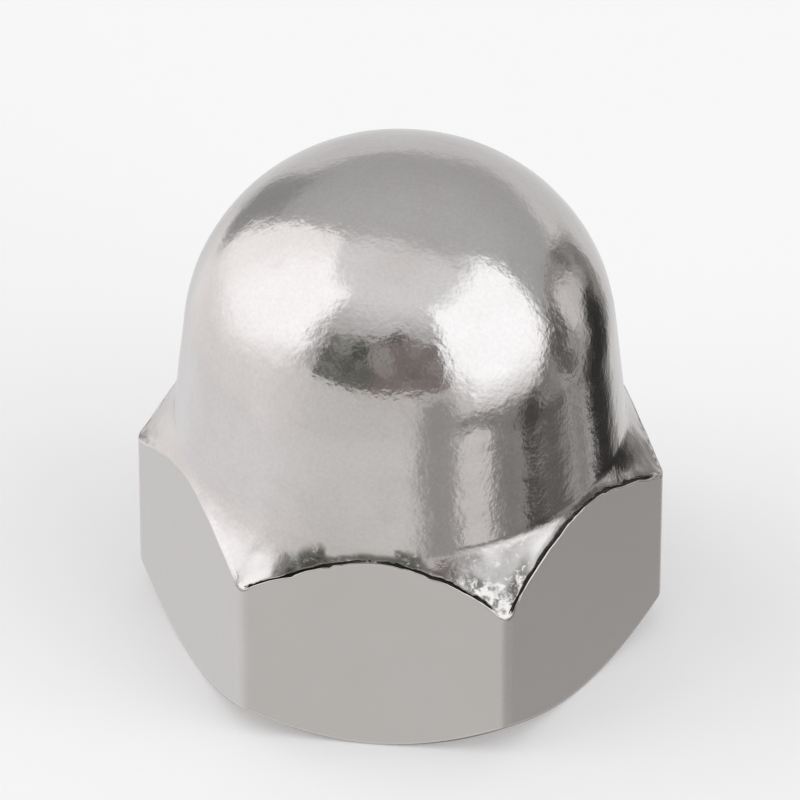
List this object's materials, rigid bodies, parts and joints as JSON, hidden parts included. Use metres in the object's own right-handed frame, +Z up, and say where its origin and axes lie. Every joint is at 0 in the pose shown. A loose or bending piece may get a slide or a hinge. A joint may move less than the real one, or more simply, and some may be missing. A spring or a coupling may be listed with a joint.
{
  "type": "cap nut",
  "caption": "Hexagon nut with a closed dome and a blind threaded hole, which tightens on a screw and covers its end.",
  "frame": {"origin": "middle of the flat bearing face that the nut stands on, on the thread's axis", "axes": "+Z up the thread's axis from the bearing face to the top of the dome, -Y square to one flat of the hexagon, X through two of its corners"},
  "size_m": [0.0148, 0.013, 0.015],
  "materials": {
    "stainless_steel": "plain stainless steel: satin flats, and a bright, faintly rippled tumbled dome"
  },
  "bodies": {
    "root": {"cap_nut": "stainless_steel"}
  },
  "joints": []
}
